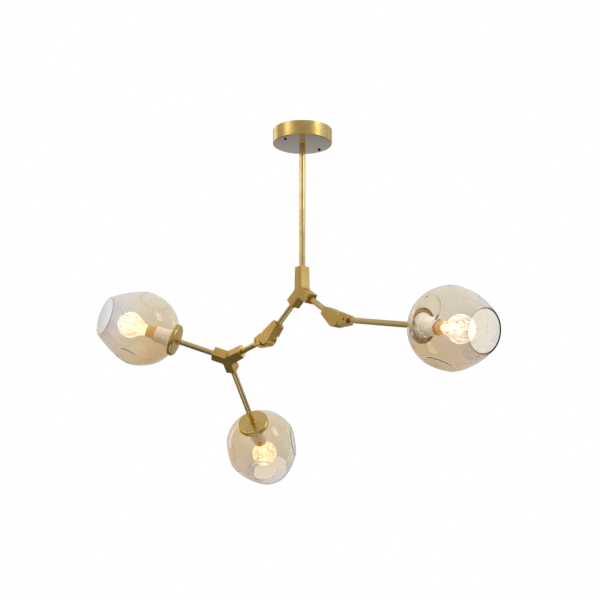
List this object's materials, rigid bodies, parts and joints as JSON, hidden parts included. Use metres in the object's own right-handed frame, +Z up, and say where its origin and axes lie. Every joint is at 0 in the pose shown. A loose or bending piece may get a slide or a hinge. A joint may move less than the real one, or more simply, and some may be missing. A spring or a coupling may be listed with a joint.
{
  "type": "branch chandelier",
  "caption": "Ceiling chandelier whose gold rods fork at cast hubs and bend at half-lap knuckles, each branch ending in a dimpled open glass shade with a small globe bulb.",
  "frame": {"origin": "centre of the ceiling bracket's top face, on the down rod's axis, in the ceiling plane", "axes": "+Z up into the ceiling, along the down rod; +X to the viewer's right and +Y away from the viewer in the pictured pose"},
  "size_m": [0.7522, 0.8842, 0.6283],
  "materials": {
    "satin_gold_rod": "satin gold plating, fine straight brushing",
    "satin_gold_casting": "satin gold plating on smooth castings",
    "canopy_gold": "brushed gold side, polished face",
    "cap_gold": "spun and brushed gold",
    "steel": "zinc plated",
    "dark_steel": "black oxide",
    "holder_shell": "white moulded holder",
    "holder_collar": "amber lacquered screw shell",
    "shade_ring": "white moulded ring",
    "shade_glass": "blown clear glass, amber near the neck",
    "bulb_glass": "clear thin glass",
    "bulb_base": "bright rolled screw base",
    "filament": "warm phosphor coated sticks",
    "wire": "pale cable sheath",
    "terminal": "white moulded block"
  },
  "bodies": {
    "ceiling_set": {"ceiling_bracket": "steel", "canopy_studs": "steel", "canopy": "canopy_gold", "canopy_cap_nuts": "dark_steel", "swivel_nipple": "steel", "nipple_washer": "steel", "nipple_lock_nut": "steel", "terminal_block": "terminal"},
    "stem": {"down_rod": "satin_gold_rod", "down_rod_lead": "wire", "upper_hub": "satin_gold_casting"},
    "arm_a": {"arm_rod_a": "satin_gold_rod", "arm_rod_a_lead": "wire", "knuckle_a_inner": "satin_gold_casting", "knuckle_a_pin": "steel"},
    "forearm_a": {"knuckle_a_outer": "satin_gold_casting", "knuckle_a_set_screw": "dark_steel", "forearm_rod_d": "satin_gold_rod", "forearm_rod_d_lead": "wire"},
    "lower_cluster": {"lower_hub": "satin_gold_casting", "lamp_rod_e": "satin_gold_rod", "lamp_rod_e_lead": "wire", "lamp_rod_f": "satin_gold_rod", "lamp_rod_f_lead": "wire", "left_lamp_nut": "satin_gold_casting", "left_lamp_cap": "cap_gold", "left_lampholder": "holder_shell", "left_holder_collar": "holder_collar", "left_shade_ring": "shade_ring", "left_glass_shade": "shade_glass", "left_bulb_base": "bulb_base", "left_bulb_glass": "bulb_glass", "left_filament": "filament", "bottom_lamp_nut": "satin_gold_casting", "bottom_lamp_cap": "cap_gold", "bottom_lampholder": "holder_shell", "bottom_holder_collar": "holder_collar", "bottom_shade_ring": "shade_ring", "bottom_glass_shade": "shade_glass", "bottom_bulb_base": "bulb_base", "bottom_bulb_glass": "bulb_glass", "bottom_filament": "filament"},
    "arm_b": {"arm_rod_b": "satin_gold_rod", "arm_rod_b_lead": "wire", "knuckle_b_inner": "satin_gold_casting", "knuckle_b_pin": "steel"},
    "forearm_b": {"knuckle_b_outer": "satin_gold_casting", "knuckle_b_set_screw": "dark_steel", "forearm_rod_c": "satin_gold_rod", "forearm_rod_c_lead": "wire", "right_lamp_nut": "satin_gold_casting", "right_lamp_cap": "cap_gold", "right_lampholder": "holder_shell", "right_holder_collar": "holder_collar", "right_shade_ring": "shade_ring", "right_glass_shade": "shade_glass", "right_bulb_base": "bulb_base", "right_bulb_glass": "bulb_glass", "right_filament": "filament"}
  },
  "joints": [
    {"name": "rod_swivel", "type": "hinge", "parent": "ceiling_set", "child": "stem", "pos_m": [0, 0, -0.02925], "axis": [0, 0, 1], "range_deg": [-170, 170]},
    {"name": "arm_a_turn", "type": "hinge", "parent": "stem", "child": "arm_a", "pos_m": [0, 0, -0.327], "axis": [-0.5295, 0.6069, -0.5927], "range_deg": [-45, 45]},
    {"name": "knuckle_a_tilt", "type": "hinge", "parent": "arm_a", "child": "forearm_a", "pos_m": [-0.06433, 0.07374, -0.39902], "axis": [0.8029, 0.584, -0.1192], "range_deg": [-60, 25]},
    {"name": "lower_hub_turn", "type": "hinge", "parent": "forearm_a", "child": "lower_cluster", "pos_m": [-0.14636, 0.18299, -0.41627], "axis": [-0.5957, 0.7934, -0.1253], "range_deg": [-60, 60]},
    {"name": "arm_b_turn", "type": "hinge", "parent": "stem", "child": "arm_b", "pos_m": [0, 0, -0.327], "axis": [0.5295, -0.6069, -0.5927], "range_deg": [-45, 45]},
    {"name": "knuckle_b_tilt", "type": "hinge", "parent": "arm_b", "child": "forearm_b", "pos_m": [0.06433, -0.07374, -0.39902], "axis": [-0.7553, -0.6554, -0.0035], "range_deg": [-60, 45]}
  ]
}
